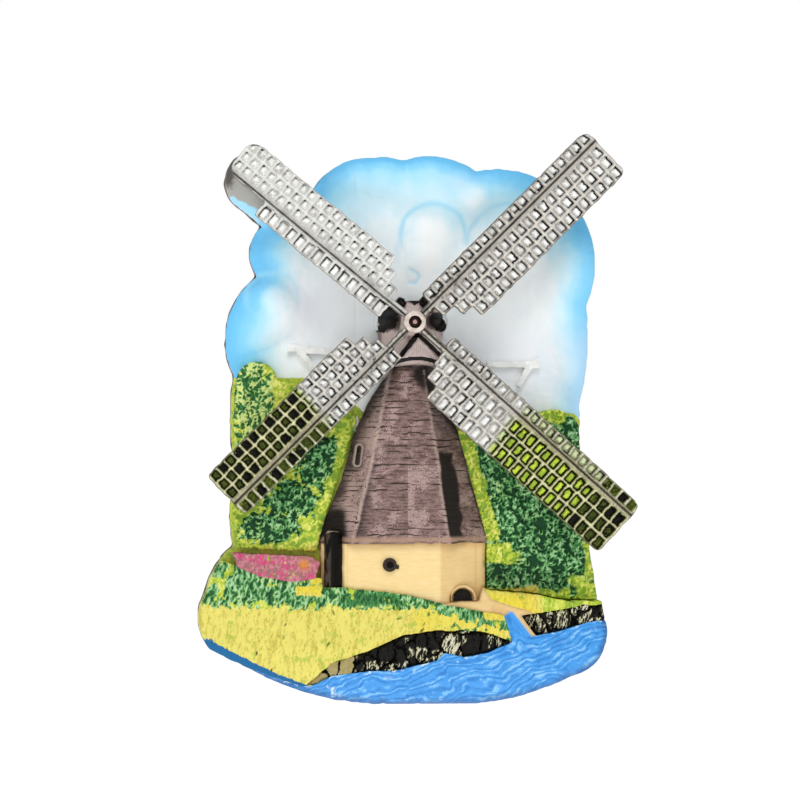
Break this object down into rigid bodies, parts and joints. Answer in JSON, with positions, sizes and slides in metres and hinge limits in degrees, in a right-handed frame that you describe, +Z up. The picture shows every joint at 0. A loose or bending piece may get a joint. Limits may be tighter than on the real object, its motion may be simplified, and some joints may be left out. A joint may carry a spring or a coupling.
{
  "type": "souvenir windmill magnet",
  "caption": "Painted resin relief of a windmill by a river, with a turning cross of lattice sails on a pin and a bar magnet set in its back.",
  "frame": {"origin": "centre of the magnet's back face, the face that holds on to a steel sheet", "axes": "+Z up the mill, +Y out of the back through the magnet towards the steel sheet, so the relief faces -Y and +X is to the viewer's right"},
  "size_m": [0.0635, 0.015, 0.0828],
  "materials": {
    "sky_paint": "airbrushed blue and white paint on cast resin, satin",
    "ferrite": "sintered ferrite bar magnet, matt black",
    "epoxy_glue": "cured epoxy glue, clear amber",
    "flower_paint": "magenta dabs over green paint on cast resin, satin",
    "water_paint": "blue paint over sculpted ripples, glossy varnish",
    "stone_paint": "black paint with tan dry brushing on cast resin, satin",
    "wall_paint": "cream paint on cast resin, satin",
    "grass_paint": "yellow green paint with dark tufts on cast resin, satin",
    "thatch_paint": "purple brown paint with a pink dry brushing, satin",
    "cap_paint": "mauve grey paint with black lining on cast resin, satin",
    "black_paint": "black gloss paint on cast resin",
    "leaf_paint": "dark green leaves with light green dry brushing, satin",
    "white_paint": "white paint on cast resin, satin",
    "silver_paint": "silver grey paint with a black wash in the lattice, satin",
    "pin_steel": "steel pin with a painted head",
    "nylon": "white nylon washer"
  },
  "bodies": {
    "plaque": {"backdrop": "sky_paint", "magnet": "ferrite", "magnet_glue_pad": "epoxy_glue", "cloud_bank_left": "sky_paint", "cloud_bank_upper_left": "sky_paint", "cloud_bank_top": "sky_paint", "cloud_bank_right": "sky_paint", "cloud_under_sail_tip": "sky_paint", "flower_bed": "flower_paint", "river": "water_paint", "bank_stones_left": "stone_paint", "bank_stones_right": "stone_paint", "towpath": "wall_paint", "meadow": "grass_paint", "far_bank": "grass_paint", "mill_tower": "thatch_paint", "mill_base": "wall_paint", "mill_cap": "cap_paint", "cap_gable": "cap_paint", "door_post": "black_paint", "round_window": "black_paint", "slit_window": "black_paint", "arch_lintel": "wall_paint", "trees_left": "leaf_paint", "trees_right": "leaf_paint", "tail_brace_left": "white_paint", "tail_brace_right": "white_paint", "axle_pin": "pin_steel", "spacer_washer": "nylon"},
    "sail_cross": {"sail_hub": "silver_paint", "sail_upper_right": "silver_paint", "sail_upper_left": "silver_paint", "sail_lower_left": "silver_paint", "sail_lower_right": "silver_paint"}
  },
  "joints": [
    {"name": "sail_spin", "type": "hinge", "parent": "plaque", "child": "sail_cross", "pos_m": [0.0007, -0.0137, 0.017], "axis": [0, -1, 0], "continuous": true}
  ]
}
